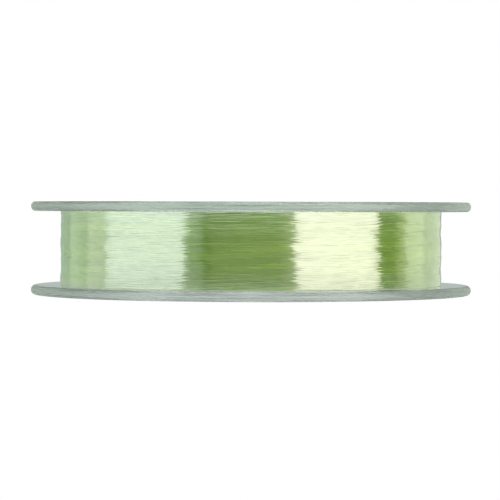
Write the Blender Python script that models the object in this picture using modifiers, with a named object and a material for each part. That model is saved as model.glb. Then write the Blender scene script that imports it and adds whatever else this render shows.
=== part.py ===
"""A spool of fishing line, lying on one flange, in metres, +Z up along the spool's axis.

Two flanges from one mould are pressed into the ends of a core barrel, and the line is wound on the barrel.
Both flanges pull off along the axis. The origin is on it, in the plane of the lower flange's outer face.
"""

from math import cos, pi, radians, sin

import bmesh
import bpy
from mathutils import Euler, Matrix, Vector

MM = 0.001

# Driving dimensions.
FLANGE_RADIUS = 50.0 * MM
SPOOL_WIDTH = 21.0 * MM
WINDING_RADIUS = 43.4 * MM
BARREL_RADIUS = 32.0 * MM
BORE_RADIUS = 8.0 * MM
LINE_RADIUS = 0.15 * MM
GAP = 0.3 * MM  # between pieces that touch on the real spool

# The flange: a flat disc with a rounded rim, recessed outside for the label.
FLANGE_THICKNESS = 2.15 * MM
OUTER_EDGE_ROUND = 0.95 * MM
INNER_EDGE_ROUND = 1.05 * MM
SEAT_DEPTH = 1.2 * MM
WEB_THICKNESS = 1.5 * MM
BORE_CHAMFER = 0.5 * MM
BOSS_RADIUS = 10.5 * MM
SPIGOT_WALL = 1.8 * MM
SPIGOT_TIP = 8.0 * MM
SPIGOT_LEAD_IN = 0.4 * MM
RIB_COUNT = 6
RIB_THICKNESS = 1.4 * MM
RIB_TIP = 7.0 * MM
DOG_HOLE_COUNT = 3
DOG_HOLE_RADIUS = 2.5 * MM
DOG_CIRCLE = 19.0 * MM

# The slits that trap the loose end of the line, as angles from the lower flange's front.
SLIT_ANGLES = (radians(150), radians(200))
SLIT_HALF_WIDTH = 0.25 * MM
SLIT_DEPTH = 5.0 * MM
MOUTH_HALF_WIDTH = 1.3 * MM
MOUTH_DEPTH = 1.8 * MM
SLIT_EYE_RADIUS = 0.7 * MM

# The barrel: a tube with three keys, which slide into slots in the spigots.
BARREL_WALL = 1.8 * MM
KEY_COUNT = 3
KEY_WIDTH = 2.0 * MM
KEY_HEIGHT = 1.8 * MM
START_HOLE_RADIUS = 0.8 * MM

# The tapes that hold the two ends of the line.
TAPE_THICKNESS = 0.2 * MM
START_TAPE_HALF_ANGLE = radians(14)
START_TAPE_WIDTH = 9.0 * MM
END_TAPE_HALF_ANGLE = radians(12)
END_TAPE_WIDTH = 8.0 * MM
LINE_END_ANGLE = radians(127)
TAG_HALF_ANGLE = radians(19)
TAG_RISE = 1.2 * MM

LABEL_THICKNESS = 0.2 * MM
LABEL_EDGE_GAP = 0.4 * MM

TURN_STEPS = 64
ROUND_STEPS = 3
HOLE_SIDES = 16

# Cutters run this far past the faces they cut, and added pieces reach this far into what they join.
CUT_MARGIN = 1.0 * MM
JOIN_OVERLAP = 0.5 * MM

MIDDLE = SPOOL_WIDTH / 2
SPIGOT_RADIUS = BARREL_RADIUS - BARREL_WALL - GAP
SPIGOT_BORE = SPIGOT_RADIUS - SPIGOT_WALL
SEAT_RADIUS = SPIGOT_RADIUS - 1.3 * MM
WEB_INSIDE = SEAT_DEPTH + WEB_THICKNESS
WINDING_BOTTOM = FLANGE_THICKNESS + GAP
WINDING_TOP = SPOOL_WIDTH - WINDING_BOTTOM
WINDING_BORE = BARREL_RADIUS + GAP + TAPE_THICKNESS + GAP


def clear_scene():
    for obj in list(bpy.data.objects):
        bpy.data.objects.remove(obj, do_unlink=True)


def new_collection(name):
    collection = bpy.data.collections.new(name)
    bpy.context.scene.collection.children.link(collection)
    return collection


def new_material(name, colour, roughness, metallic=0.0, alpha=1.0):
    material = bpy.data.materials.new(name)
    material.use_nodes = True
    shader = material.node_tree.nodes["Principled BSDF"]
    shader.inputs["Base Color"].default_value = (*colour, 1.0)
    shader.inputs["Roughness"].default_value = roughness
    shader.inputs["Metallic"].default_value = metallic
    shader.inputs["Alpha"].default_value = alpha
    return material


def add_object(name, data, collection, material=None):
    obj = bpy.data.objects.new(name, data)
    collection.objects.link(obj)
    if material:
        data.materials.append(material)
    return obj


def round_corner(centre, radius, start, end):
    """Points (r, z) on an arc about centre, from one angle to another."""
    angles = [start + (end - start) * i / ROUND_STEPS for i in range(ROUND_STEPS + 1)]
    return [(centre[0] + radius * cos(a), centre[1] + radius * sin(a)) for a in angles]


def turned(name, profile, collection, material=None):
    """A ring turned about Z from a closed profile of (r, z), which runs down its outer side."""
    mesh = bpy.data.meshes.new(name)
    count = len(profile)
    points = [(r, 0, z) for r, z in profile]
    mesh.from_pydata(points, [(i, (i + 1) % count) for i in range(count)], [])
    obj = add_object(name, mesh, collection, material)
    screw = obj.modifiers.new("turn", "SCREW")
    screw.steps = screw.render_steps = TURN_STEPS
    screw.use_merge_vertices = True
    screw.merge_threshold = 0.01 * MM
    return obj


def curved_sheet(name, radius, half_angle, middle_angle, width, height, collection, material):
    """A strip of tape round a cylinder: an upright line turned part of the way round, then thickened."""
    mesh = bpy.data.meshes.new(name)
    low, high = height - width / 2, height + width / 2
    mesh.from_pydata([(radius, 0, high), (radius, 0, low)], [(0, 1)], [])
    obj = add_object(name, mesh, collection, material)
    obj.rotation_euler.z = middle_angle - half_angle
    screw = obj.modifiers.new("turn", "SCREW")
    screw.angle = 2 * half_angle
    screw.steps = screw.render_steps = ROUND_STEPS * 2
    solidify = obj.modifiers.new("thickness", "SOLIDIFY")
    solidify.thickness = TAPE_THICKNESS
    solidify.offset = 1
    return obj


def block(size, centre, angle=0.0):
    """A bmesh box: size and centre before it is turned about Z."""
    bm = bmesh.new()
    bmesh.ops.create_cube(bm, size=1.0)
    bmesh.ops.scale(bm, vec=Vector(size), verts=bm.verts)
    bmesh.ops.translate(bm, vec=Vector(centre), verts=bm.verts)
    bmesh.ops.rotate(bm, matrix=Matrix.Rotation(angle, 3, "Z"), verts=bm.verts)
    return bm


def rod(radius, length, centre, tilt=(0.0, 0.0, 0.0)):
    """A bmesh cylinder along Z, tilted and then moved to its centre."""
    bm = bmesh.new()
    sizes = {"radius1": radius, "radius2": radius, "depth": length}
    bmesh.ops.create_cone(bm, cap_ends=True, segments=HOLE_SIDES, **sizes)
    bmesh.ops.rotate(bm, matrix=Euler(tilt).to_matrix(), verts=bm.verts)
    bmesh.ops.translate(bm, vec=Vector(centre), verts=bm.verts)
    return bm


def prism(outline, bottom, top, angle):
    """A bmesh prism over a convex outline of (x, y), turned about Z."""
    bm = bmesh.new()
    base = [bm.verts.new((x, y, bottom)) for x, y in outline]
    face = bm.faces.new(base)
    made = bmesh.ops.extrude_face_region(bm, geom=[face])
    raised = [v for v in made["geom"] if isinstance(v, bmesh.types.BMVert)]
    bmesh.ops.translate(bm, vec=(0, 0, top - bottom), verts=raised)
    bmesh.ops.rotate(bm, matrix=Matrix.Rotation(angle, 3, "Z"), verts=bm.verts)
    bmesh.ops.recalc_face_normals(bm, faces=bm.faces)
    return bm


def tool(name, shapes, collection):
    """One helper object from several separate bmesh shapes, for a Boolean to add or cut with."""
    mesh = bpy.data.meshes.new(name)
    whole = bmesh.new()
    for shape in shapes:
        part = bpy.data.meshes.new("shape")
        shape.to_mesh(part)
        shape.free()
        whole.from_mesh(part)
        bpy.data.meshes.remove(part)
    whole.to_mesh(mesh)
    whole.free()
    obj = add_object(name, mesh, collection)
    obj.hide_render = True
    obj.display_type = "WIRE"
    return obj


def boolean(obj, other, operation):
    modifier = obj.modifiers.new(other.name, "BOOLEAN")
    modifier.operation = operation
    modifier.object = other


def around(count, first=0.0):
    return [first + 2 * pi * i / count for i in range(count)]


def flange_profile():
    """The flange in section, from the rim down to the bore: its outer face at z 0, its spigot upwards."""
    outer_round = (FLANGE_RADIUS - OUTER_EDGE_ROUND, OUTER_EDGE_ROUND)
    inner_round = (FLANGE_RADIUS - INNER_EDGE_ROUND, FLANGE_THICKNESS - INNER_EDGE_ROUND)
    rim = round_corner(inner_round, INNER_EDGE_ROUND, pi / 2, 0)
    rim += round_corner(outer_round, OUTER_EDGE_ROUND, 0, -pi / 2)
    outer_face = [
        (SEAT_RADIUS, 0),
        (SEAT_RADIUS, SEAT_DEPTH),
        (BOSS_RADIUS, SEAT_DEPTH),
        (BOSS_RADIUS, 0),
        (BORE_RADIUS + BORE_CHAMFER, 0),
        (BORE_RADIUS, BORE_CHAMFER),
    ]
    hub_inside = [
        (BORE_RADIUS, MIDDLE - GAP / 2),
        (BOSS_RADIUS, MIDDLE - GAP / 2),
        (BOSS_RADIUS, WEB_INSIDE),
        (SPIGOT_BORE, WEB_INSIDE),
        (SPIGOT_BORE, SPIGOT_TIP),
        (SPIGOT_RADIUS - SPIGOT_LEAD_IN, SPIGOT_TIP),
        (SPIGOT_RADIUS, SPIGOT_TIP - SPIGOT_LEAD_IN),
        (SPIGOT_RADIUS, FLANGE_THICKNESS),
    ]
    return rim + outer_face + hub_inside


def slit_shapes():
    """The cut of each line slit: a V mouth at the rim, a narrow slit and a round eye at its end."""
    out = FLANGE_RADIUS + CUT_MARGIN
    spread = MOUTH_HALF_WIDTH * (MOUTH_DEPTH + CUT_MARGIN) / MOUTH_DEPTH
    throat = FLANGE_RADIUS - MOUTH_DEPTH
    eye = FLANGE_RADIUS - SLIT_DEPTH
    outline = [
        (-SLIT_HALF_WIDTH, -eye),
        (-SLIT_HALF_WIDTH, -throat),
        (-spread, -out),
        (spread, -out),
        (SLIT_HALF_WIDTH, -throat),
        (SLIT_HALF_WIDTH, -eye),
    ]
    return [prism(outline, -CUT_MARGIN, FLANGE_THICKNESS + CUT_MARGIN, a) for a in SLIT_ANGLES]


def slit_eyes():
    """The round end of each slit."""
    distance = FLANGE_RADIUS - SLIT_DEPTH
    length = FLANGE_THICKNESS + 2 * CUT_MARGIN
    centres = [(sin(a) * distance, -cos(a) * distance, FLANGE_THICKNESS / 2) for a in SLIT_ANGLES]
    return [rod(SLIT_EYE_RADIUS, length, centre) for centre in centres]


def make_flange_mesh(tools):
    """The moulding that both flanges share."""
    blank = turned("flange_blank", flange_profile(), tools)
    blank.hide_render = True
    blank.display_type = "WIRE"

    rib_length = SPIGOT_BORE - BOSS_RADIUS + 2 * JOIN_OVERLAP
    rib_size = (rib_length, RIB_THICKNESS, RIB_TIP - WEB_INSIDE + JOIN_OVERLAP)
    rib_centre = ((SPIGOT_BORE + BOSS_RADIUS) / 2, 0, (RIB_TIP + WEB_INSIDE - JOIN_OVERLAP) / 2)
    ribs = [block(rib_size, rib_centre, a) for a in around(RIB_COUNT)]
    boolean(blank, tool("ribs", ribs, tools), "UNION")

    slot_width = KEY_WIDTH + 2 * GAP
    slot_size = (SPIGOT_WALL + 2 * CUT_MARGIN, slot_width, SPIGOT_TIP - FLANGE_THICKNESS + CUT_MARGIN)
    slot_centre = (SPIGOT_RADIUS - SPIGOT_WALL / 2, 0, FLANGE_THICKNESS + slot_size[2] / 2)
    slots = [block(slot_size, slot_centre, a) for a in around(KEY_COUNT, pi / 6)]
    boolean(blank, tool("key_slots", slots, tools), "DIFFERENCE")

    web_middle = (SEAT_DEPTH + WEB_INSIDE) / 2
    dogs = [
        rod(DOG_HOLE_RADIUS, WEB_THICKNESS + 2 * CUT_MARGIN, (cos(a) * DOG_CIRCLE, sin(a) * DOG_CIRCLE, web_middle))
        for a in around(DOG_HOLE_COUNT, pi / 2)
    ]
    boolean(blank, tool("dog_holes", dogs, tools), "DIFFERENCE")
    boolean(blank, tool("line_slits", slit_shapes(), tools), "DIFFERENCE")
    boolean(blank, tool("slit_eyes", slit_eyes(), tools), "DIFFERENCE")

    graph = bpy.context.evaluated_depsgraph_get()
    mesh = bpy.data.meshes.new_from_object(blank.evaluated_get(graph), depsgraph=graph)
    mesh.name = "flange"
    bpy.data.objects.remove(blank, do_unlink=True)
    return mesh


def make_flanges(collection, tools, plastic):
    """The same moulding twice, the upper one turned over."""
    mesh = make_flange_mesh(tools)
    mesh.materials.append(plastic)
    add_object("lower_flange", mesh, collection)
    upper = add_object("upper_flange", mesh, collection)
    upper.rotation_euler.y = pi
    upper.location.z = SPOOL_WIDTH


def make_barrel(collection, tools, plastic):
    """A tube with three keys inside, and a hole for the start of the line."""
    bore = BARREL_RADIUS - BARREL_WALL
    ends = (WINDING_BOTTOM, WINDING_TOP)
    profile = [(BARREL_RADIUS, ends[1]), (BARREL_RADIUS, ends[0]), (bore, ends[0]), (bore, ends[1])]
    barrel = turned("core_barrel", profile, collection, plastic)

    key_size = (KEY_HEIGHT + JOIN_OVERLAP, KEY_WIDTH, ends[1] - ends[0])
    key_centre = (bore + (JOIN_OVERLAP - KEY_HEIGHT) / 2, 0, MIDDLE)
    keys = [block(key_size, key_centre, a) for a in around(KEY_COUNT, pi / 6)]
    boolean(barrel, tool("keys", keys, tools), "UNION")

    wall = BARREL_RADIUS - BARREL_WALL / 2
    hole_centre = (cos(LINE_END_ANGLE) * wall, sin(LINE_END_ANGLE) * wall, MIDDLE)
    hole = rod(START_HOLE_RADIUS, BARREL_WALL + 2 * CUT_MARGIN, hole_centre, (0, pi / 2, LINE_END_ANGLE))
    boolean(barrel, tool("start_hole", [hole], tools), "DIFFERENCE")


def make_winding(collection, line):
    """The wound line as one ring, a little crowned, with rounded shoulders at the flanges."""
    shoulder = 0.5 * MM
    half_width = MIDDLE - WINDING_BOTTOM - shoulder
    crown = 0.1 * MM
    face = [1.0, 0.5, 0.0, -0.5, -1.0]
    outside = [(WINDING_RADIUS - crown * t * t, MIDDLE + half_width * t) for t in face]
    profile = [(WINDING_RADIUS - crown - shoulder, WINDING_TOP)] + outside
    profile += [(WINDING_RADIUS - crown - shoulder, WINDING_BOTTOM)]
    profile += [(WINDING_BORE, WINDING_BOTTOM), (WINDING_BORE, WINDING_TOP)]
    turned("line_winding", profile, collection, line)


def make_tapes(collection, tape):
    """The tape under the winding that holds the line's start, and the one over it that holds its end."""
    curved_sheet(
        "line_start_tape",
        BARREL_RADIUS + GAP,
        START_TAPE_HALF_ANGLE,
        LINE_END_ANGLE,
        START_TAPE_WIDTH,
        MIDDLE,
        collection,
        tape,
    )
    curved_sheet(
        "line_end_tape",
        WINDING_RADIUS + 2 * GAP + 2 * LINE_RADIUS,
        END_TAPE_HALF_ANGLE,
        LINE_END_ANGLE,
        END_TAPE_WIDTH,
        MIDDLE,
        collection,
        tape,
    )


def make_tag_end(collection, line):
    """The last stretch of the line, which lies on the winding and under the tape."""
    steps = 24
    radius = WINDING_RADIUS + GAP + LINE_RADIUS
    curve = bpy.data.curves.new("line_tag_end", "CURVE")
    curve.dimensions = "3D"
    curve.bevel_depth = LINE_RADIUS
    curve.bevel_resolution = 2
    curve.use_fill_caps = True
    spline = curve.splines.new("POLY")
    spline.points.add(steps)
    for i, point in enumerate(spline.points):
        share = i / steps * 2 - 1
        angle = LINE_END_ANGLE + TAG_HALF_ANGLE * share
        height = MIDDLE + TAG_RISE * share
        point.co = (cos(angle) * radius, sin(angle) * radius, height, 1)
    add_object("line_tag_end", curve, collection, line)


def make_label(collection, paper):
    """The ring of printed paper in the upper flange's recess."""
    inner, outer = BOSS_RADIUS + LABEL_EDGE_GAP, SEAT_RADIUS - LABEL_EDGE_GAP
    bottom = SPOOL_WIDTH - SEAT_DEPTH + GAP
    top = bottom + LABEL_THICKNESS
    turned("face_label", [(outer, top), (outer, bottom), (inner, bottom), (inner, top)], collection, paper)


def shade_round_pieces(collection):
    for obj in collection.objects:
        if obj.type == "MESH":
            obj.data.shade_smooth()
            obj.data.set_sharp_from_angle(angle=radians(30))


def main():
    clear_scene()
    spool = new_collection("fishing_line_spool")
    tools = new_collection("tools")

    clear_plastic = new_material("clear_plastic", (0.62, 0.69, 0.66), 0.08, alpha=0.5)
    line = new_material("green_line", (0.28, 0.42, 0.14), 0.18)
    tape = new_material("clear_tape", (0.80, 0.80, 0.72), 0.15, alpha=0.6)
    paper = new_material("label_paper", (0.88, 0.90, 0.86), 0.45)

    make_flanges(spool, tools, clear_plastic)
    make_barrel(spool, tools, clear_plastic)
    make_winding(spool, line)
    make_tapes(spool, tape)
    make_tag_end(spool, line)
    make_label(spool, paper)
    shade_round_pieces(spool)


main()
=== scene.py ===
# %% [markdown]
# # A spool of fishing line
# The real object is three clear mouldings and a long green nylon line, wound so tightly that it shines like
# one piece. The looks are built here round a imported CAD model: it gives every size and place, and
# what is made here only makes the surfaces finer.

import bmesh
import bpy
import numpy as np
from mathutils import Matrix, Vector


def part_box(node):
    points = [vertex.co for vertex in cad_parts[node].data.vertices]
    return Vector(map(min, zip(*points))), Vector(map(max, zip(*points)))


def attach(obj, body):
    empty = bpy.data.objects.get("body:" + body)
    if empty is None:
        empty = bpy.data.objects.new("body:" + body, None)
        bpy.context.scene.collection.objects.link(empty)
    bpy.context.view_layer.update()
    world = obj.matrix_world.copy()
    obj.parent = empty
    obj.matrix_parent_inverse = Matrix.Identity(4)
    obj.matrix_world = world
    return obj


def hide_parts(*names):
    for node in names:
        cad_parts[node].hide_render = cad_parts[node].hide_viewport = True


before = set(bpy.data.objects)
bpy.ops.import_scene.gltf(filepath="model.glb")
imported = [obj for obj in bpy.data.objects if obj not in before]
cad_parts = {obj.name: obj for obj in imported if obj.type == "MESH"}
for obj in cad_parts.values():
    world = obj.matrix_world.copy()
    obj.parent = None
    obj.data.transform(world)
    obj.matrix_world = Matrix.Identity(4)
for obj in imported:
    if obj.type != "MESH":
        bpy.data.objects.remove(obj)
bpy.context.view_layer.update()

# %% [markdown]
# ## Sizes
# Blender works in metres and this spool in millimetres, so one constant turns one into the other. The outside
# sizes are read from the CAD nodes' boxes. The sizes of the details are written out, and repeat the CAD's.

# %% Read the main sizes
MM = 0.001
FLANGE_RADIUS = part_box("lower_flange")[1].x
BOSS_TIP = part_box("lower_flange")[1].z
SPOOL_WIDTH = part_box("upper_flange")[1].z
BARREL_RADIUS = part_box("core_barrel")[1].x
BARREL_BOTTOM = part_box("core_barrel")[0].z
BARREL_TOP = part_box("core_barrel")[1].z
WINDING_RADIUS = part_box("line_winding")[1].x
MIDDLE = SPOOL_WIDTH / 2
LABEL_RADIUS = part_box("face_label")[1].x
LABEL_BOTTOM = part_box("face_label")[0].z
LABEL_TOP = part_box("face_label")[1].z
CLEARANCE = 0.3 * MM
LINE_RADIUS = 0.15 * MM

sizes = {"flange": FLANGE_RADIUS, "width": SPOOL_WIDTH, "barrel": BARREL_RADIUS, "winding": WINDING_RADIUS}
print("mm:", {name: round(size / MM, 2) for name, size in sizes.items()})

# %% [markdown]
# ## Camera
# The spool is looked at from the front, with the camera almost level with its upper flange: that flange shows
# only its rim, and the lower one shows a little of its inner face. A long lens from over half a metre keeps the
# two flanges nearly the same width.

# %% Place the camera
CAMERA_DISTANCE = 567 * MM
CAMERA_HEIGHT = 19.8 * MM
CAMERA_SIDE = -0.25 * MM
LENS_MM = 178.9
PITCH = np.radians(-0.985)
ROLL = np.radians(-0.17)

camera_data = bpy.data.cameras.new("camera")
camera_data.lens = LENS_MM
camera = bpy.data.objects.new("camera", camera_data)
camera.location = (CAMERA_SIDE, -CAMERA_DISTANCE, CAMERA_HEIGHT)
camera.rotation_euler = (np.pi / 2 + PITCH, ROLL, 0)
bpy.context.collection.objects.link(camera)
bpy.context.scene.camera = camera
bpy.context.scene.view_settings.view_transform = "Standard"
print("camera at", [round(x, 4) for x in camera.location])

# %% [markdown]
# ## Light
# Parallel strands reflect light in a fan: a lamp to one side shows as an upright band at one place on the
# winding, however high the lamp is. Two tall softboxes at the sides therefore make two bright bands, and the
# dark studio between them makes the green one. Dimmer panels beside them, the spills and cards, soften the
# edges of the bands and light the winding towards its sides. Two fills brighten the rest, and don't show in the
# gloss. Each panel is given by the directions that its edges lie in. Directions, brightness and tints were all
# tuned, and none is measured from a real studio.

# %% Hang the softboxes
LAMP_DISTANCE = 1.2
PANEL_HALF_HEIGHT = np.radians(62)
TOP_LAMP_SIZE = 1.2


def hang_lamp(name, outward, width, height, radiance, colour, mirrored=True):
    """A flat lamp in a direction from the spool, facing it. One that isn't mirrored doesn't show in its gloss.

    A lamp's power in watts is its radiance times pi times its area.
    """
    lamp = bpy.data.lights.new(name, "AREA")
    lamp.shape = "RECTANGLE"
    lamp.size = width
    lamp.size_y = height
    lamp.energy = radiance * np.pi * width * height
    lamp.color = colour
    obj = bpy.data.objects.new(name, lamp)
    obj.location = outward * LAMP_DISTANCE + Vector((0, 0, MIDDLE))
    obj.rotation_mode = "QUATERNION"
    obj.rotation_quaternion = outward.to_track_quat("Z", "Y")
    obj.visible_camera = False
    obj.visible_glossy = mirrored
    bpy.context.collection.objects.link(obj)
    print(f"{name}: {width:.2f} x {height:.2f} m, radiance {radiance}")


def panel(name, left, right, radiance, colour, mirrored=True):
    """A tall lamp that fills the directions from left to right, in degrees from the camera's side."""
    middle = np.radians((left + right) / 2)
    outward = Vector((np.sin(middle), -np.cos(middle), 0))
    width = 2 * LAMP_DISTANCE * np.tan(np.radians((right - left) / 2))
    height = 2 * LAMP_DISTANCE * np.tan(PANEL_HALF_HEIGHT)
    hang_lamp(name, outward, width, height, radiance, colour, mirrored)


# Each panel: its name, its left and right edges in degrees, its radiance and its colour.
panels = [
    ("softbox_left", -96, -40, 1.68, (0.93, 1.0, 0.95)),
    ("spill_left", -40, -29, 0.26, (0.93, 1.0, 0.9)),
    ("softbox_right", 26.5, 81.3, 2.2, (1.0, 0.94, 0.84)),
    ("spill_right", 18, 26.5, 0.22, (1.0, 0.98, 0.75)),
    ("card_left", -114, -96, 0.9, (0.92, 1.0, 0.86)),
    ("card_back_left", -138, -114, 0.5, (0.88, 1.0, 0.8)),
    ("card_far_left", -164, -138, 0.2, (0.82, 1.0, 0.8)),
    ("card_right", 97, 105, 0.35, (0.95, 1.0, 0.6)),
    ("card_back_right", 105, 126, 0.92, (0.95, 1.0, 0.75)),
    ("card_far_right", 126, 162, 0.54, (0.95, 1.0, 0.75)),
    ("card_front", -24, 18, 0.13, (1.0, 1.0, 0.7)),
]
for settings in panels:
    panel(*settings)
panel("fill_front", -50, 50, 0.32, (1.0, 1.0, 0.95), mirrored=False)
hang_lamp("fill_top", Vector((0, 0, 1)), TOP_LAMP_SIZE, TOP_LAMP_SIZE, 1.2, (1.0, 1.0, 0.97), mirrored=False)

# %% [markdown]
# ## One function for nodes, one for colours
# A material is a tree of nodes. One function adds any node, sets it and links it. Colours are written as the
# hex values that a screen shows, and another function turns them into the linear values that light adds up in.


# %% Add nodes and turn colours to linear
def add_node(tree, kind, inputs=None, **settings):
    """Adds one node. inputs maps a socket's name or number to a value, or to the socket that feeds it."""
    node = tree.nodes.new(kind)
    for name, value in settings.items():
        setattr(node, name, value)
    for socket, value in (inputs or {}).items():
        if isinstance(value, bpy.types.NodeSocket):
            tree.links.new(value, node.inputs[socket])
        else:
            node.inputs[socket].default_value = value
    return node


def linear(hex_colour):
    """An sRGB colour such as #80C040 as linear RGBA, by the sRGB curve."""
    shown = np.array([int(hex_colour[i : i + 2], 16) for i in (1, 3, 5)]) / 255
    curve = np.where(shown <= 0.04045, shown / 12.92, ((shown + 0.055) / 1.055) ** 2.4)
    return (*curve.tolist(), 1.0)


def new_material(name, settings):
    """A material with one Principled BSDF, whose sockets take the given values. Returns it, its tree and shader."""
    material = bpy.data.materials.new(name)
    material.use_nodes = True
    tree = material.node_tree
    shader = tree.nodes["Principled BSDF"]
    for socket, value in settings.items():
        shader.inputs[socket].default_value = value
    return material, tree, shader


print("linear mid grey:", [round(x, 3) for x in linear("#808080")])

# %% [markdown]
# ## Floor and surroundings
# The floor and the background are plain white. The floor is a stage card that shines by itself. It shows to the
# camera, straight on and through plastic, but not in reflections, which it would wash out. A ray that was
# mirrored inside the plastic on its way sees it a little dimmer. The world behind everything is white to the
# eye, a little dimmer through plastic, which greys the clear rims, and dim as a light, which keeps the green of
# the line deep where no softbox is reflected.

# %% Lay the floor and set the world
FLOOR_HALF = 4.0
FLOOR_DROP = 0.05 * MM
FLOOR_FROM_INSIDE = 0.82

floor_mesh = bpy.data.meshes.new("floor")
corners = [(-1, -1), (1, -1), (1, 1), (-1, 1)]
floor_mesh.from_pydata([(x * FLOOR_HALF, y * FLOOR_HALF, -FLOOR_DROP) for x, y in corners], [], [(0, 1, 2, 3)])
floor = bpy.data.objects.new("floor", floor_mesh)
bpy.context.collection.objects.link(floor)
floor.visible_diffuse = False
floor.visible_glossy = False
floor.visible_shadow = False
white_card, card_tree, card_shader = new_material(
    "white_card",
    {
        "Base Color": linear("#000000"),
        "Specular IOR Level": 0.0,
        "Roughness": 1.0,
        "Emission Color": linear("#FFFFFF"),
    },
)
inside = add_node(card_tree, "ShaderNodeLightPath")
dimmed = add_node(
    card_tree,
    "ShaderNodeMapRange",
    {"Value": inside.outputs["Glossy Depth"], "To Min": 1.0, "To Max": FLOOR_FROM_INSIDE},
)
card_tree.links.new(dimmed.outputs[0], card_shader.inputs["Emission Strength"])
floor_mesh.materials.append(white_card)

WORLD_SEEN = 1.0
WORLD_THROUGH = 0.78
WORLD_FRONT = 0.03
WORLD_BACK = 0.35
WORLD_FAR_BACK = 0.5
WORLD_OVERHEAD = 0.12
BACK_RAMP = (0.2, 0.7)
FAR_BACK_RAMP = (0.93, 0.98)
OVERHEAD_RAMP = (0.8, 0.97)

world = bpy.data.worlds.new("studio")
world.use_nodes = True
bpy.context.scene.world = world
sky = world.node_tree
sky.nodes.clear()
ray = add_node(sky, "ShaderNodeLightPath")
direction = add_node(sky, "ShaderNodeTexCoord")
axes = add_node(sky, "ShaderNodeSeparateXYZ", {0: direction.outputs["Generated"]})
behind = add_node(
    sky,
    "ShaderNodeMapRange",
    {
        "Value": axes.outputs["Y"],
        "From Min": BACK_RAMP[0],
        "From Max": BACK_RAMP[1],
        "To Min": WORLD_FRONT,
        "To Max": WORLD_BACK,
    },
)
steepness = add_node(sky, "ShaderNodeMath", {0: axes.outputs["Z"]}, operation="ABSOLUTE")
overhead = add_node(
    sky,
    "ShaderNodeMapRange",
    {
        "Value": steepness.outputs[0],
        "From Min": OVERHEAD_RAMP[0],
        "From Max": OVERHEAD_RAMP[1],
        "To Max": WORLD_OVERHEAD,
    },
)
far_behind = add_node(
    sky,
    "ShaderNodeMapRange",
    {
        "Value": axes.outputs["Y"],
        "From Min": FAR_BACK_RAMP[0],
        "From Max": FAR_BACK_RAMP[1],
        "To Max": WORLD_FAR_BACK,
    },
)
sides = add_node(sky, "ShaderNodeMath", {0: behind.outputs[0], 1: far_behind.outputs[0]}, operation="MAXIMUM")
as_light = add_node(sky, "ShaderNodeMath", {0: sides.outputs[0], 1: overhead.outputs[0]}, operation="ADD")
through = add_node(
    sky,
    "ShaderNodeMapRange",
    {"Value": ray.outputs["Transmission Depth"], "To Min": as_light.outputs[0], "To Max": WORLD_THROUGH},
)
strength = add_node(
    sky,
    "ShaderNodeMapRange",
    {"Value": ray.outputs["Is Camera Ray"], "To Min": through.outputs[0], "To Max": WORLD_SEEN},
)
colour = add_node(
    sky,
    "ShaderNodeMix",
    {0: ray.outputs["Is Camera Ray"], 6: linear("#EAFAF2"), 7: linear("#FFFFFF")},
    data_type="RGBA",
)
background = add_node(sky, "ShaderNodeBackground", {"Color": colour.outputs[2], "Strength": strength.outputs[0]})
add_node(sky, "ShaderNodeOutputWorld", {"Surface": background.outputs[0]})
bpy.context.scene.cycles.max_bounces = 32
bpy.context.scene.cycles.glossy_bounces = 24
bpy.context.scene.cycles.transmission_bounces = 32
print("world: seen", WORLD_SEEN, "through plastic", WORLD_THROUGH, "front", WORLD_FRONT, "back", WORLD_BACK)

# %% [markdown]
# ## Clear polystyrene
# The flanges and the barrel are general-purpose polystyrene from a polished mould: colourless through a wall,
# grey-green along a whole flange. Its index of 1.59 is higher than window glass's, so its edges sparkle. The
# tint is a Volume Absorption, which darkens with the length of the way through. The inner faces are so flat and
# glossy that they mirror the winding. Handling has left a faint haze of fine scuffs in patches, and where the
# mould parts, along the rim's edge, the polish is worn, so the roughness rises there.

# %% Make the polystyrene
POLYSTYRENE_IOR = 1.59
ABSORPTION_PER_METRE = 7.5
SCUFF_SIZE = 5 * MM
POLISHED = 0.015
SCUFFED = 0.05
WORN_EXTRA = 0.32
WORN_START = 0.9 * MM
WORN_FULL = 0.1 * MM
SCUFF_RAMP = (0.45, 0.75)

polystyrene, tree, shader = new_material(
    "clear_polystyrene",
    {
        "Base Color": linear("#FCFEFD"),
        "Transmission Weight": 1.0,
        "IOR": POLYSTYRENE_IOR,
    },
)


def axis_distance(tree):
    """The distance from the spool's axis, in metres: the length of (x, y, 0)."""
    place = add_node(tree, "ShaderNodeTexCoord")
    flat = add_node(tree, "ShaderNodeVectorMath", {0: place.outputs["Object"], 1: (1, 1, 0)}, operation="MULTIPLY")
    length = add_node(tree, "ShaderNodeVectorMath", {0: flat.outputs[0]}, operation="LENGTH")
    return length.outputs["Value"]


worn = add_node(
    tree,
    "ShaderNodeMapRange",
    {
        "Value": axis_distance(tree),
        "From Min": FLANGE_RADIUS - WORN_START,
        "From Max": FLANGE_RADIUS - WORN_FULL,
        "To Max": WORN_EXTRA,
    },
)
place = add_node(tree, "ShaderNodeTexCoord")
scuffs = add_node(
    tree,
    "ShaderNodeTexNoise",
    {"Vector": place.outputs["Object"], "Scale": 1 / SCUFF_SIZE, "Detail": 5.0},
)
haze = add_node(
    tree,
    "ShaderNodeMapRange",
    {
        "Value": scuffs.outputs[0],
        "From Min": SCUFF_RAMP[0],
        "From Max": SCUFF_RAMP[1],
        "To Min": POLISHED,
        "To Max": SCUFFED,
    },
)
roughness = add_node(tree, "ShaderNodeMath", {0: haze.outputs[0], 1: worn.outputs[0]}, operation="ADD")
tree.links.new(roughness.outputs[0], shader.inputs["Roughness"])
tint = add_node(tree, "ShaderNodeVolumeAbsorption", {"Color": linear("#4D8E7E"), "Density": ABSORPTION_PER_METRE})
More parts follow.
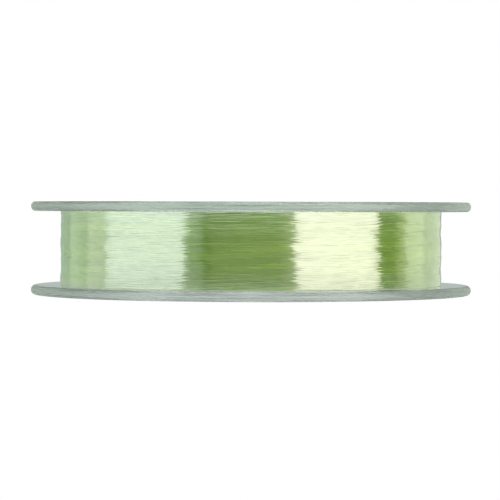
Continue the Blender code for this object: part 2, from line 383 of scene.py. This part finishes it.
tree.links.new(tint.outputs[0], tree.nodes["Material Output"].inputs["Volume"])
print("polystyrene: index", POLYSTYRENE_IOR, "absorption", ABSORPTION_PER_METRE)

# %% [markdown]
# ## Nylon monofilament
# Line is drawn nylon 6, a glossy translucent strand 0.3 mm thick, tinted pale green. Light enters it, goes
# round inside it and its neighbours, and comes out in the same fan as the reflection, so a packed winding
# shines far more than one strand would. A coat with a high index stands for that: it is chosen for its
# brightness, and nylon has no such index. The colour wanders a little along each strand, as a thicker or
# thinner bed of line lies under it.

# %% Make the nylon
COLOUR_PATCH = 25 * MM
BED_PATCH = 26 * MM
BED_PATCH_HEIGHT = 1.6 * MM
STRAND_SHARE = 0.35
NYLON_IOR = 1.53
COAT_IOR = 3.5
DARK_BED = (0.38, "#678F2A")
LIGHT_BED = (0.62, "#82A83E")

nylon, tree, shader = new_material(
    "nylon_monofilament",
    {
        "Roughness": 0.16,
        "IOR": NYLON_IOR,
        "Specular IOR Level": 1.0,
        "Coat Weight": 1.0,
        "Coat IOR": COAT_IOR,
        "Coat Roughness": 0.08,
    },
)
strand_map = add_node(tree, "ShaderNodeUVMap", uv_map="UVMap")
stretched = add_node(
    tree,
    "ShaderNodeMapping",
    {"Vector": strand_map.outputs[0], "Scale": (1 / COLOUR_PATCH, 1.0, 1.0)},
)
each_strand = add_node(tree, "ShaderNodeTexNoise", {"Vector": stretched.outputs[0], "Scale": 1.0, "Detail": 3.0})
place = add_node(tree, "ShaderNodeTexCoord")
flattened = add_node(
    tree,
    "ShaderNodeMapping",
    {"Vector": place.outputs["Object"], "Scale": (1 / BED_PATCH, 1 / BED_PATCH, 1 / BED_PATCH_HEIGHT)},
)
beneath = add_node(tree, "ShaderNodeTexNoise", {"Vector": flattened.outputs[0], "Scale": 1.0, "Detail": 2.0})
depth = add_node(tree, "ShaderNodeMix", {0: STRAND_SHARE, 2: beneath.outputs[0], 3: each_strand.outputs[0]})
ramp = add_node(tree, "ShaderNodeValToRGB", {"Fac": depth.outputs[0]})
for element, (position, hex_colour) in zip(ramp.color_ramp.elements, (DARK_BED, LIGHT_BED)):
    element.position = position
    element.color = linear(hex_colour)
tree.links.new(ramp.outputs[0], shader.inputs["Base Color"])
print("nylon: index", NYLON_IOR, "coat", COAT_IOR)

# %% [markdown]
# ## A grid of points
# Every new surface here is a grid: one parameter runs round a section and the other along or round the spool.
# The whole grid is worked out at once with numpy and goes into the mesh with its faces, which are the squares
# between neighbouring points.


# %% Turn a grid into a mesh
def grid_mesh(name, points, close_rows, close_columns, uv=None):
    """A mesh from points of shape (rows, columns, 3). Closing joins the last row or column to the first.

    Open ends of a tube whose section is closed are capped with one face each. uv has the grid's shape and 2
    values for each point.
    """
    rows, columns = points.shape[:2]
    last_row = rows if close_rows else rows - 1
    last_column = columns if close_columns else columns - 1
    i, j = np.meshgrid(np.arange(last_row), np.arange(last_column), indexing="ij")
    here = i * columns + j
    beside = i * columns + (j + 1) % columns
    below = (i + 1) % rows * columns + j
    across = (i + 1) % rows * columns + (j + 1) % columns
    faces = np.stack([here, beside, across, below], axis=-1).reshape(-1, 4)
    mesh = bpy.data.meshes.new(name)
    listed = faces.tolist()
    if close_columns and not close_rows:
        listed += [list(range(columns))[::-1], list(range((rows - 1) * columns, rows * columns))]
    mesh.from_pydata(points.reshape(-1, 3).tolist(), [], listed)
    if uv is not None:
        layer = mesh.uv_layers.new(name="UVMap")
        corner_points = np.empty(len(mesh.loops), dtype=np.int32)
        mesh.loops.foreach_get("vertex_index", corner_points)
        layer.data.foreach_set("uv", uv.reshape(-1, 2)[corner_points].ravel())
    return mesh


def face_outwards(mesh):
    """Turns the faces round if the solid's signed volume is below 0."""
    bm = bmesh.new()
    bm.from_mesh(mesh)
    if bm.calc_volume(signed=True) < 0:
        bmesh.ops.reverse_faces(bm, faces=bm.faces)
    bm.to_mesh(mesh)
    bm.free()


def new_piece(mesh, material, sharp_degrees=None):
    """An object for a finished mesh, shaded smooth except at edges sharper than the angle."""
    face_outwards(mesh)
    mesh.shade_smooth()
    if sharp_degrees:
        mesh.set_sharp_from_angle(angle=np.radians(sharp_degrees))
    mesh.materials.clear()
    mesh.materials.append(material)
    obj = bpy.data.objects.new(mesh.name, mesh)
    bpy.context.collection.objects.link(obj)
    print(f"{mesh.name}: {len(mesh.vertices)} points, {len(mesh.polygons)} faces")
    return obj


# %% [markdown]
# ## Turned sections
# A moulding has no sharp corner: its mould is polished, and each corner is rounded a little. A section is
# written as its corners with the size of each rounding, and one function replaces each corner by an arc that
# touches both its sides. Another carries the section round the spool's axis.


# %% Round a section's corners and turn it
HOLD = 0.02 * MM


def rounded_section(corners, steps=5):
    """Points (r, z) of a closed section. Each corner is (r, z, rounding).

    The arc's ends lie rounding / tan(half the corner's angle) from the corner, and its centre lies on the
    line that halves the angle, rounding / sin(half the angle) away. One more point lies HOLD past each end.
    It holds the smooth shading of the arc to the arc, so that the flat face beside it stays optically flat.
    """
    arcs = []
    places = [np.array(corner[:2]) for corner in corners]
    for k, (r, z, rounding) in enumerate(corners):
        here = places[k]
        before = places[k - 1] - here
        after = places[(k + 1) % len(corners)] - here
        before /= np.linalg.norm(before)
        after /= np.linalg.norm(after)
        half = np.arccos(np.clip(before @ after, -1, 1)) / 2
        if rounding == 0 or half > np.radians(89.5):
            arcs.append(here[None])
            continue
        inwards = (before + after) / np.linalg.norm(before + after)
        centre = here + inwards * rounding / np.sin(half)
        start = here + before * rounding / np.tan(half) - centre
        end = here + after * rounding / np.tan(half) - centre
        sweep = np.arctan2(start[0] * end[1] - start[1] * end[0], start @ end)
        angles = np.linspace(0, sweep, steps + 1)[:, None]
        across = np.array([-start[1], start[0]])
        arcs.append((centre + start + before * HOLD)[None])
        arcs.append(centre + np.cos(angles) * start + np.sin(angles) * across)
        arcs.append((centre + end + after * HOLD)[None])
    return np.concatenate(arcs)


def turned(name, section, steps):
    """A closed ring: each section point (r, z) goes to (r cos a, r sin a, z) for angles a all the way round."""
    angles = np.arange(steps) * 2 * np.pi / steps
    r, z = section[:, 0:1], section[:, 1:2]
    points = np.stack([r * np.cos(angles), r * np.sin(angles), z + 0 * angles], axis=-1)
    return grid_mesh(name, points, close_rows=True, close_columns=True)


# %% [markdown]
# ## The flanges
# A flange is one moulding: a disc with a thin round rim, a recess for the label, a boss with the bore in it, a
# spigot that presses into the barrel, and ribs between the two. What is round is turned. What isn't round, the
# ribs, slots, holes and line slits, is added or cut with Booleans, as a toolmaker cuts them into the mould.

# %% Turn the flange blank
FLANGE_THICKNESS = 2.15 * MM
OUTER_EDGE_ROUND = 0.95 * MM
INNER_EDGE_ROUND = 1.05 * MM
SEAT_DEPTH = 1.2 * MM
WEB_INSIDE = 2.7 * MM
BORE_RADIUS = 8.0 * MM
BOSS_RADIUS = 10.5 * MM
SPIGOT_RADIUS = BARREL_RADIUS - 1.8 * MM - CLEARANCE
SPIGOT_BORE = SPIGOT_RADIUS - 1.8 * MM
SEAT_RADIUS = SPIGOT_RADIUS - 1.3 * MM
SPIGOT_TIP = 8.0 * MM
SMALL_ROUND = 0.25 * MM
LEAD_IN_ROUND = 0.4 * MM
TURN_STEPS = 256

flange_corners = [
    (FLANGE_RADIUS, FLANGE_THICKNESS, INNER_EDGE_ROUND),
    (FLANGE_RADIUS, 0, OUTER_EDGE_ROUND),
    (SEAT_RADIUS, 0, SMALL_ROUND),
    (SEAT_RADIUS, SEAT_DEPTH, SMALL_ROUND),
    (BOSS_RADIUS, SEAT_DEPTH, SMALL_ROUND),
    (BOSS_RADIUS, 0, SMALL_ROUND),
    (BORE_RADIUS, 0, LEAD_IN_ROUND),
    (BORE_RADIUS, BOSS_TIP, SMALL_ROUND),
    (BOSS_RADIUS, BOSS_TIP, SMALL_ROUND),
    (BOSS_RADIUS, WEB_INSIDE, SMALL_ROUND),
    (SPIGOT_BORE, WEB_INSIDE, SMALL_ROUND),
    (SPIGOT_BORE, SPIGOT_TIP, SMALL_ROUND),
    (SPIGOT_RADIUS, SPIGOT_TIP, LEAD_IN_ROUND),
    (SPIGOT_RADIUS, FLANGE_THICKNESS, SMALL_ROUND),
]
flange_section = rounded_section(flange_corners, steps=7)
print("flange section:", len(flange_section), "points")

# %% Cut and add what isn't round
RIB_COUNT = 6
RIB_THICKNESS = 1.4 * MM
RIB_TIP = 7.0 * MM
KEY_COUNT = 3
KEY_WIDTH = 2.0 * MM
DOG_COUNT = 3
DOG_HOLE_RADIUS = 2.5 * MM
DOG_CIRCLE = 19.0 * MM
SLIT_ANGLES = np.radians([150, 200])
SLIT_DEPTH = 5.0 * MM
SLIT_HALF_WIDTH = 0.25 * MM
MOUTH_HALF_WIDTH = 1.3 * MM
MOUTH_DEPTH = 1.8 * MM
EYE_RADIUS = 0.7 * MM
INTO = 0.5 * MM
THROUGH_WEB = (-1 * MM, 5 * MM)
THROUGH_RIM = (-1 * MM, 4 * MM)
FLANGE_SHARP = 32


def prism(outline, bottom, top, angle):
    """A solid over an outline of (x, y) points, turned about Z by an angle."""
    bm = bmesh.new()
    base = bm.faces.new([bm.verts.new((x, y, bottom)) for x, y in outline])
    made = bmesh.ops.extrude_face_region(bm, geom=[base])
    raised = [v for v in made["geom"] if isinstance(v, bmesh.types.BMVert)]
    bmesh.ops.translate(bm, vec=(0, 0, top - bottom), verts=raised)
    bmesh.ops.rotate(bm, matrix=Matrix.Rotation(angle, 3, "Z"), verts=bm.verts)
    bmesh.ops.recalc_face_normals(bm, faces=bm.faces)
    return bm


def rectangle(x0, x1, half_width):
    """The corners of a rectangle that lies along X, the same on both sides of it."""
    return [(x0, -half_width), (x1, -half_width), (x1, half_width), (x0, half_width)]


def circle(x, y, radius, sides=32):
    """Points round a circle: x + radius cos a, y + radius sin a."""
    angles = np.arange(sides) * 2 * np.pi / sides
    return np.stack([x + radius * np.cos(angles), y + radius * np.sin(angles)], axis=-1).tolist()


def shape_with(obj, shapes, operation):
    """Adds or cuts several solids with one Boolean and applies it."""
    whole = bmesh.new()
    for shape in shapes:
        part = bpy.data.meshes.new("shape")
        shape.to_mesh(part)
        shape.free()
        whole.from_mesh(part)
        bpy.data.meshes.remove(part)
    mesh = bpy.data.meshes.new("tool")
    whole.to_mesh(mesh)
    whole.free()
    tool = bpy.data.objects.new("tool", mesh)
    bpy.context.collection.objects.link(tool)
    modifier = obj.modifiers.new("shape", "BOOLEAN")
    modifier.operation = operation
    modifier.object = tool
    graph = bpy.context.evaluated_depsgraph_get()
    result = bpy.data.meshes.new_from_object(obj.evaluated_get(graph), depsgraph=graph)
    obj.modifiers.clear()
    obj.data = result
    bpy.data.objects.remove(tool)


def around(count, first=0.0):
    """Angles that share a whole turn equally, from the first one on."""
    return first + np.arange(count) * 2 * np.pi / count


blank = new_piece(turned("flange_blank", flange_section, TURN_STEPS), polystyrene)
rib = rectangle(BOSS_RADIUS - INTO, SPIGOT_BORE + INTO, RIB_THICKNESS / 2)
shape_with(blank, [prism(rib, WEB_INSIDE - INTO, RIB_TIP, a) for a in around(RIB_COUNT)], "UNION")

slot = rectangle(SPIGOT_BORE - 1 * MM, SPIGOT_RADIUS + 1 * MM, KEY_WIDTH / 2 + CLEARANCE)
cuts = [prism(slot, FLANGE_THICKNESS, SPIGOT_TIP + 1 * MM, a) for a in around(KEY_COUNT, np.pi / 6)]
cuts += [prism(circle(DOG_CIRCLE, 0, DOG_HOLE_RADIUS), *THROUGH_WEB, a) for a in around(DOG_COUNT, np.pi / 2)]
shape_with(blank, cuts, "DIFFERENCE")

throat = FLANGE_RADIUS - MOUTH_DEPTH
eye = FLANGE_RADIUS - SLIT_DEPTH
beyond = 1 * MM
spread = MOUTH_HALF_WIDTH * (MOUTH_DEPTH + beyond) / MOUTH_DEPTH
slit = [
    (-SLIT_HALF_WIDTH, -eye),
    (-SLIT_HALF_WIDTH, -throat),
    (-spread, -FLANGE_RADIUS - beyond),
    (spread, -FLANGE_RADIUS - beyond),
    (SLIT_HALF_WIDTH, -throat),
    (SLIT_HALF_WIDTH, -eye),
]
shape_with(blank, [prism(slit, *THROUGH_RIM, a) for a in SLIT_ANGLES], "DIFFERENCE")
eyes = [prism(circle(0, -eye, EYE_RADIUS, 20), *THROUGH_RIM, a) for a in SLIT_ANGLES]
shape_with(blank, eyes, "DIFFERENCE")
flange_mesh = blank.data
bpy.data.objects.remove(blank)

lower_mesh = flange_mesh.copy()
lower_mesh.name = "lower_flange_clear"
upper_mesh = flange_mesh.copy()
upper_mesh.name = "upper_flange_clear"
upper_mesh.transform(Matrix.Translation((0, 0, SPOOL_WIDTH)) @ Matrix.Rotation(np.pi, 4, "Y"))
lower_flange = new_piece(lower_mesh, polystyrene, sharp_degrees=FLANGE_SHARP)
upper_flange = new_piece(upper_mesh, polystyrene, sharp_degrees=FLANGE_SHARP)
for piece, node, body in ((lower_flange, "lower_flange", "base"), (upper_flange, "upper_flange", "top")):
    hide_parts(node)
    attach(piece, body)

# %% [markdown]
# ## The core barrel
# The barrel is a tube with three keys inside, which slide into the spigots' slots. It is one surface: the
# outer radius stays the same all the way round, and the inner one dips at each key. A small hole is drilled
# for the start of the line, which is threaded in before the winding begins. The narrow end faces are shaded
# smooth together with their chamfers, so they aren't optically flat.

# %% Make the barrel
BARREL_WALL = 1.8 * MM
KEY_HEIGHT = 1.8 * MM
BARREL_STEPS = 360
START_HOLE_RADIUS = 0.8 * MM
START_HOLE_ANGLE = np.radians(127)
END_ROUND = 0.3 * MM
END_SHARE = 0.3
BARREL_SHARP = 40

angles = np.arange(BARREL_STEPS) * 2 * np.pi / BARREL_STEPS
inner = BARREL_RADIUS - BARREL_WALL
from_key = (angles - np.pi / 6 + np.pi / KEY_COUNT) % (2 * np.pi / KEY_COUNT) - np.pi / KEY_COUNT
on_key = np.abs(from_key) * inner < KEY_WIDTH / 2
inside = np.where(on_key, inner - KEY_HEIGHT, inner)
barrel_section = [
    (0, BARREL_TOP - END_ROUND),
    (0, BARREL_BOTTOM + END_ROUND),
    (END_SHARE, BARREL_BOTTOM),
    (1 - END_SHARE, BARREL_BOTTOM),
    (1, BARREL_BOTTOM + END_ROUND),
    (1, BARREL_TOP - END_ROUND),
    (1 - END_SHARE, BARREL_TOP),
    (END_SHARE, BARREL_TOP),
]
share = np.array([s for s, z in barrel_section])[:, None]
height = np.array([z for s, z in barrel_section])[:, None]
radius = BARREL_RADIUS + (inside - BARREL_RADIUS) * share
points = np.stack([radius * np.cos(angles), radius * np.sin(angles), height + 0 * angles], axis=-1)
blank = new_piece(grid_mesh("barrel_blank", points, True, True), polystyrene)
drill = prism(circle(0, 0, START_HOLE_RADIUS, 24), BARREL_RADIUS - 3 * MM, BARREL_RADIUS + 2 * MM, 0)
sideways = Matrix.Rotation(START_HOLE_ANGLE, 3, "Z") @ Matrix.Rotation(np.pi / 2, 3, "Y")
bmesh.ops.rotate(drill, matrix=sideways, verts=drill.verts)
bmesh.ops.translate(drill, vec=(0, 0, MIDDLE), verts=drill.verts)
shape_with(blank, [drill], "DIFFERENCE")
barrel_mesh = blank.data
bpy.data.objects.remove(blank)
barrel_mesh.name = "core_barrel_clear"
barrel = new_piece(barrel_mesh, polystyrene, sharp_degrees=BARREL_SHARP)
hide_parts("core_barrel")
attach(barrel, "wound_core")

# %% [markdown]
# ## The wound line, under its top layer
# Only the ends of the inner layers show, through the flanges: each layer ends in one ring, like the grooves of
# a record. Modelling all the turns would take millions of faces, so the bed is one turned ring whose two sides
# carry a rounded ridge for each layer, a little deeper or shallower from layer to layer.

# %% Make the bed of line
random = np.random.default_rng(7)
LAYER_PITCH = 0.27 * MM
RIDGE_POINTS = 5
RIDGE_REACH = 0.96
MOST_SET_BACK = 0.14
DRIFT = 0.05 * MM
DRIFT_SPIRALS = (900, 310)
BED_STEPS = 160
BED_GAP = 0.04 * MM
BED_START_GAP = 0.25 * MM
BED_TOP = SPOOL_WIDTH - FLANGE_THICKNESS - BED_GAP
BED_BOTTOM = FLANGE_THICKNESS + BED_GAP

bed_inner = BARREL_RADIUS + CLEARANCE + BED_START_GAP
bed_outer = WINDING_RADIUS - 2.5 * LINE_RADIUS
layers = int((bed_outer - bed_inner) / LAYER_PITCH)
print("layers of line:", layers)


def side_ridges():
    """Radii and depths of one side: half circles side by side, each layer set back by its own small amount."""
    step = np.linspace(-RIDGE_REACH, RIDGE_REACH, RIDGE_POINTS)
    set_back = random.uniform(0, MOST_SET_BACK, layers) * MM
    r = bed_inner + (np.arange(layers)[:, None] + 0.5 + step / 2) * LAYER_PITCH
    depth = set_back[:, None] + LINE_RADIUS * (1 - np.sqrt(1 - step**2))
    return r.ravel(), depth.ravel()


top_r, top_depth = side_ridges()
bottom_r, bottom_depth = side_ridges()
bed_r = np.concatenate([top_r, bottom_r[::-1]])[:, None]
bed_depth = np.concatenate([top_depth, bottom_depth[::-1]])[:, None]
is_top = np.arange(len(bed_r))[:, None] < len(top_r)
angles = np.arange(BED_STEPS) * 2 * np.pi / BED_STEPS
drift = DRIFT * (1 + np.sin(angles * 3 + bed_r * DRIFT_SPIRALS[0]) * np.sin(angles + bed_r * DRIFT_SPIRALS[1]))
bed_z = np.where(is_top, BED_TOP - bed_depth - drift, BED_BOTTOM + bed_depth + drift)
points = np.stack([bed_r * np.cos(angles), bed_r * np.sin(angles), bed_z], axis=-1)
along = np.broadcast_to(angles * WINDING_RADIUS, bed_z.shape)
bed_uv = np.stack([along, np.broadcast_to(bed_r / LAYER_PITCH, bed_z.shape)], axis=-1)
bed = new_piece(grid_mesh("line_bed", points, True, True, bed_uv), nylon, sharp_degrees=75)
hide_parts("line_winding")
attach(bed, "wound_core")

# %% [markdown]
# ## The top layer of line
# The turns that show are a strand carried round the spool along a fine helix. They lie closer together than
# the line is thick, so they overlap a little, and their section is a flat oval: only the crown of each shows.
# No turn is quite round, because it rides over the crossings of the layer below. The radius therefore wanders
# by a few hundredths of a millimetre, as a sum of waves. That tilts the strand by about three quarters of a
# degree, and so each strand picks up the edge of a softbox at its own place, which makes the ragged streaks.


# %% Wind the top layer
def wander(t, slope, least, most, count):
    """A sum of sine waves of angle t, all equally steep. slope is the root-mean-square tilt, in metres a radian."""
    cycles = random.uniform(least, most, count)
    phases = random.uniform(0, 2 * np.pi, count)
    each = slope * np.sqrt(2 / count)
    return sum(each / k * np.sin(k * t + p) for k, p in zip(cycles, phases))


def strand(name, t, radius, height, half_depth, half_width, sides=7):
    """A tube whose middle runs at (radius, angle t, height), with an oval section across the radius and Z."""
    around_section = np.arange(sides) * 2 * np.pi / sides
    r = radius[:, None] + half_depth * np.cos(around_section)
    z = height[:, None] + half_width * np.sin(around_section)
    points = np.stack([r * np.cos(t)[:, None], r * np.sin(t)[:, None], z], axis=-1)
    length = np.broadcast_to((t * WINDING_RADIUS)[:, None], r.shape)
    uv = np.stack([length, np.broadcast_to(around_section / (2 * np.pi), r.shape)], axis=-1)
    return grid_mesh(name, points, close_rows=False, close_columns=True, uv=uv)


def swell(t, height):
    """How far the winding stands proud at an angle and a height: two slow waves over its width, in metres."""
    broad = np.sin(2 * np.pi * height / (8.6 * MM) + 1.2 * np.sin(t % (2 * np.pi) + 0.4))
    narrow = np.sin(2 * np.pi * height / (3.9 * MM) + 2.0 * np.sin(2 * t + 1.0))
    return (0.07 * broad + 0.05 * narrow) * MM


TURN_PITCH = 0.22 * MM
STEPS_PER_TURN = 330
CROWN = 0.022 * MM
TOP_LAYER_PARTS = 2

top_start = BED_BOTTOM + LINE_RADIUS
top_end = BED_TOP - LINE_RADIUS
turns = (top_end - top_start) / TURN_PITCH + 2
t = np.linspace(0, turns * 2 * np.pi, int(turns * STEPS_PER_TURN))
climb = np.clip(t / (2 * np.pi) - 1, 0, turns - 2)
loose = np.clip(np.minimum(climb, turns - 2 - climb), 0, 1)
height = top_start + TURN_PITCH * climb + wander(t, 0.002 * WINDING_RADIUS, 2, 9, 6) * loose
radius = WINDING_RADIUS - LINE_RADIUS + wander(t, 0.013 * WINDING_RADIUS, 16, 44, 18) + swell(t, height)
per_part = len(t) // TOP_LAYER_PARTS
for part in range(TOP_LAYER_PARTS):
    span = slice(part * per_part, min((part + 1) * per_part + 1, len(t)))
    tube = strand(f"line_top_layer_{part + 1}", t[span], radius[span], height[span], CROWN, LINE_RADIUS)
    top_layer = new_piece(tube, nylon)
    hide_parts("line_winding")
    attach(top_layer, "wound_core")
print("turns in the top layer:", round(turns, 1), "line in it, m:", round(turns * 2 * np.pi * WINDING_RADIUS, 1))

# %% [markdown]
# ## The last turns
# At the end of a spool the winder's guide runs back once at a steeper pitch, and these last turns lie loose
# across the layer below. They stand a little prouder than it, so they show as single strands.

# %% Lay the last turns
LAST_PITCH = 1.55 * MM
LAST_MARGIN = 0.9 * MM
LAST_DEPTH = 0.034 * MM
LAST_SINK = 0.13 * MM
LAST_STEPS_PER_TURN = 200

last_turns = (top_end - top_start - 2 * LAST_MARGIN) / LAST_PITCH
t = np.linspace(0, last_turns * 2 * np.pi, int(last_turns * LAST_STEPS_PER_TURN))
height = top_end - LAST_MARGIN - LAST_PITCH * t / (2 * np.pi) + wander(t, 0.006 * WINDING_RADIUS, 1, 5, 5)
radius = WINDING_RADIUS - LAST_SINK + wander(t, 0.01 * WINDING_RADIUS, 10, 30, 12) + swell(t, height)
last_layer = new_piece(strand("line_last_turns", t, radius, height, LAST_DEPTH, 0.8 * LINE_RADIUS, 8), nylon)
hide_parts("line_winding")
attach(last_layer, "wound_core")

# %% [markdown]
# ## The end of the line and its tape
# The loose end lies along the winding at the back and goes under a piece of clear tape, which keeps it from
# springing off. The tape comes from a dispenser: its long edges are straight and its two ends are zigzag. It
# hugs the winding and rises over the strand in a low ridge.

# %% Lay the end and tape it down
tag_low, tag_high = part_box("line_tag_end")
tape_low, tape_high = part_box("line_end_tape")
END_ANGLE = np.arctan2(tape_low.y + tape_high.y, tape_low.x + tape_high.x)
TAG_HALF_ANGLE = np.radians(19)
TAG_RISE = (tag_high.z - tag_low.z) / 2 - LINE_RADIUS
TAPE_HALF_ANGLE = np.radians(12)
TAPE_HALF_WIDTH = (tape_high.z - tape_low.z) / 2
TAPE_FILM = 0.06 * MM
TOOTH = 1.1 * MM
TOOTH_DEPTH = 0.45 * MM
TAG_GAP = 0.02 * MM
TUCK_DEPTH = 0.35 * MM
SPRING_HEIGHT = 0.25 * MM
TAPE_GAP = 0.05 * MM
RIDGE_HEIGHT = 2.1 * LINE_RADIUS
RIDGE_HALF_WIDTH = 0.42 * MM
tag_radius = WINDING_RADIUS + TAG_GAP + LINE_RADIUS

share = np.linspace(-1, 1, 90)
tucked = np.clip((-0.75 - share) / 0.25, 0, 1)
springing = np.clip((share - 0.8) / 0.2, 0, 1)
t = END_ANGLE + TAG_HALF_ANGLE * share
radius = tag_radius - TUCK_DEPTH * tucked**2 + SPRING_HEIGHT * springing**2
tag_end = new_piece(
    strand("line_tag_end_round", t, radius, MIDDLE + TAG_RISE * share, LINE_RADIUS, LINE_RADIUS, 12),
    nylon,
    sharp_degrees=50,
)
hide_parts("line_tag_end")
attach(tag_end, "wound_core")

clear_tape, tree, shader = new_material(
    "acrylic_tape",
    {
        "Base Color": linear("#FBFAF3"),
        "Transmission Weight": 1.0,
        "Roughness": 0.05,
        "IOR": 1.49,
    },
)
place = add_node(tree, "ShaderNodeTexCoord")
bubbles = add_node(tree, "ShaderNodeTexNoise", {"Vector": place.outputs["Object"], "Scale": 1 / (2 * MM)})
bump = add_node(tree, "ShaderNodeBump", {"Height": bubbles.outputs[0], "Strength": 0.3, "Distance": 0.1 * MM})
tree.links.new(bump.outputs[0], shader.inputs["Normal"])

ROUND_STEPS = 96
WIDTH_STEPS = 81
length_share = np.linspace(-1, 1, ROUND_STEPS)[:, None]
width_share = np.linspace(-1, 1, WIDTH_STEPS)[None]
tape_z = MIDDLE + TAPE_HALF_WIDTH * width_share
zigzag = np.abs((tape_z / TOOTH) % 1 - 0.5) * 2 * TOOTH_DEPTH / WINDING_RADIUS
tape_t = END_ANGLE + TAPE_HALF_ANGLE * length_share - np.sign(length_share) * zigzag * np.abs(length_share) ** 8
strand_z = MIDDLE + TAG_RISE * (tape_t - END_ANGLE) / TAG_HALF_ANGLE
ridge = RIDGE_HEIGHT * np.exp(-(((tape_z - strand_z) / RIDGE_HALF_WIDTH) ** 2))
under = WINDING_RADIUS + TAPE_GAP + ridge + 0 * width_share
shell_t = np.concatenate([tape_t, tape_t[:, ::-1]], axis=1)
shell_r = np.concatenate([under + TAPE_FILM, under[:, ::-1]], axis=1)
shell_z = np.concatenate([tape_z, tape_z[:, ::-1]], axis=1) + 0 * shell_t
points = np.stack([shell_r * np.cos(shell_t), shell_r * np.sin(shell_t), shell_z], axis=-1)
end_tape = new_piece(grid_mesh("line_end_tape_film", points, False, True), clear_tape, sharp_degrees=50)
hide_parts("line_end_tape")
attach(end_tape, "wound_core")

start_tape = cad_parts["line_start_tape"]
start_tape.data.materials.clear()
start_tape.data.materials.append(clear_tape)

# %% [markdown]
# ## The label
# The label is a ring of white polypropylene film, printed and die-cut, in the recess of the upper flange. It
# carries a plain pattern and no words: a green border, a wavy line like a ripple on water, and short ticks
# round the hole. The print is a set of masks of the distance from the axis and the angle round it.

# %% Print and lay the label
label_film, tree, shader = new_material(
    "printed_film",
    {"Roughness": 0.28, "Coat Weight": 0.4, "Coat Roughness": 0.1},
)
distance = axis_distance(tree)
place = add_node(tree, "ShaderNodeTexCoord")
axes = add_node(tree, "ShaderNodeSeparateXYZ", {0: place.outputs["Object"]})
angle = add_node(tree, "ShaderNodeMath", {0: axes.outputs["Y"], 1: axes.outputs["X"]}, operation="ARCTAN2")
PRINT_EDGE = 0.06 * MM
LABEL_ROUND = 0.06 * MM
DARK_INK = "#4F7A2E"


def band(tree, value, low, high, edge):
    """1 where the value lies between low and high, 0 elsewhere, with a soft edge: the smaller of two ramps."""
    rise = add_node(tree, "ShaderNodeMapRange", {"Value": value, "From Min": low - edge, "From Max": low + edge})
    fall = add_node(tree, "ShaderNodeMapRange", {"Value": value, "From Min": high + edge, "From Max": high - edge})
    both = add_node(tree, "ShaderNodeMath", {0: rise.outputs[0], 1: fall.outputs[0]}, operation="MINIMUM")
    return both.outputs[0]


def wave(tree, angle, cycles, size):
    """size times the sine of cycles times the angle."""
    turns = add_node(tree, "ShaderNodeMath", {0: angle, 1: cycles}, operation="MULTIPLY")
    sine = add_node(tree, "ShaderNodeMath", {0: turns.outputs[0]}, operation="SINE")
    return add_node(tree, "ShaderNodeMath", {0: sine.outputs[0], 1: size}, operation="MULTIPLY").outputs[0]


def print_over(tree, ground, mask, hex_colour):
    """The ground colour with ink of another colour where the mask is 1."""
    mixed = add_node(tree, "ShaderNodeMix", {0: mask, 6: ground, 7: linear(hex_colour)}, data_type="RGBA")
    return mixed.outputs[2]


ripple = add_node(tree, "ShaderNodeMath", {0: distance, 1: wave(tree, angle.outputs[0], 24, 0.45 * MM)})
swash = add_node(tree, "ShaderNodeMath", {0: distance, 1: wave(tree, angle.outputs[0], 24, -0.3 * MM)})
ticks = wave(tree, angle.outputs[0], 36, 1.0)
tick_ring = add_node(
    tree,
    "ShaderNodeMath",
    {0: band(tree, ticks, 0.8, 2.0, 0.05), 1: band(tree, distance, 12.2 * MM, 13.6 * MM, PRINT_EDGE)},
    operation="MULTIPLY",
)
prints = [
    (band(tree, distance, LABEL_RADIUS - 3.2 * MM, LABEL_RADIUS - 0.7 * MM, PRINT_EDGE), DARK_INK),
    (band(tree, distance, LABEL_RADIUS - 4.1 * MM, LABEL_RADIUS - 3.8 * MM, PRINT_EDGE), DARK_INK),
    (band(tree, ripple.outputs[0], 21.2 * MM, 22.3 * MM, PRINT_EDGE), "#A9C97B"),
    (band(tree, swash.outputs[0], 18.6 * MM, 19.3 * MM, PRINT_EDGE), "#C7DDA6"),
    (band(tree, distance, 14.6 * MM, 14.9 * MM, PRINT_EDGE), DARK_INK),
    (tick_ring.outputs[0], DARK_INK),
]
paper = add_node(tree, "ShaderNodeRGB")
paper.outputs[0].default_value = linear("#EEF0E4")
ink = paper.outputs[0]
for mask, hex_colour in prints:
    ink = print_over(tree, ink, mask, hex_colour)
tree.links.new(ink, shader.inputs["Base Color"])
LABEL_BORE = BOSS_RADIUS + 0.4 * MM
label_corners = [
    (LABEL_RADIUS, LABEL_TOP, LABEL_ROUND),
    (LABEL_RADIUS, LABEL_BOTTOM, LABEL_ROUND),
    (LABEL_BORE, LABEL_BOTTOM, LABEL_ROUND),
    (LABEL_BORE, LABEL_TOP, LABEL_ROUND),
]
label = new_piece(turned("face_label_film", rounded_section(label_corners, 3), TURN_STEPS), label_film, 50)
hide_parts("face_label")
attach(label, "top")
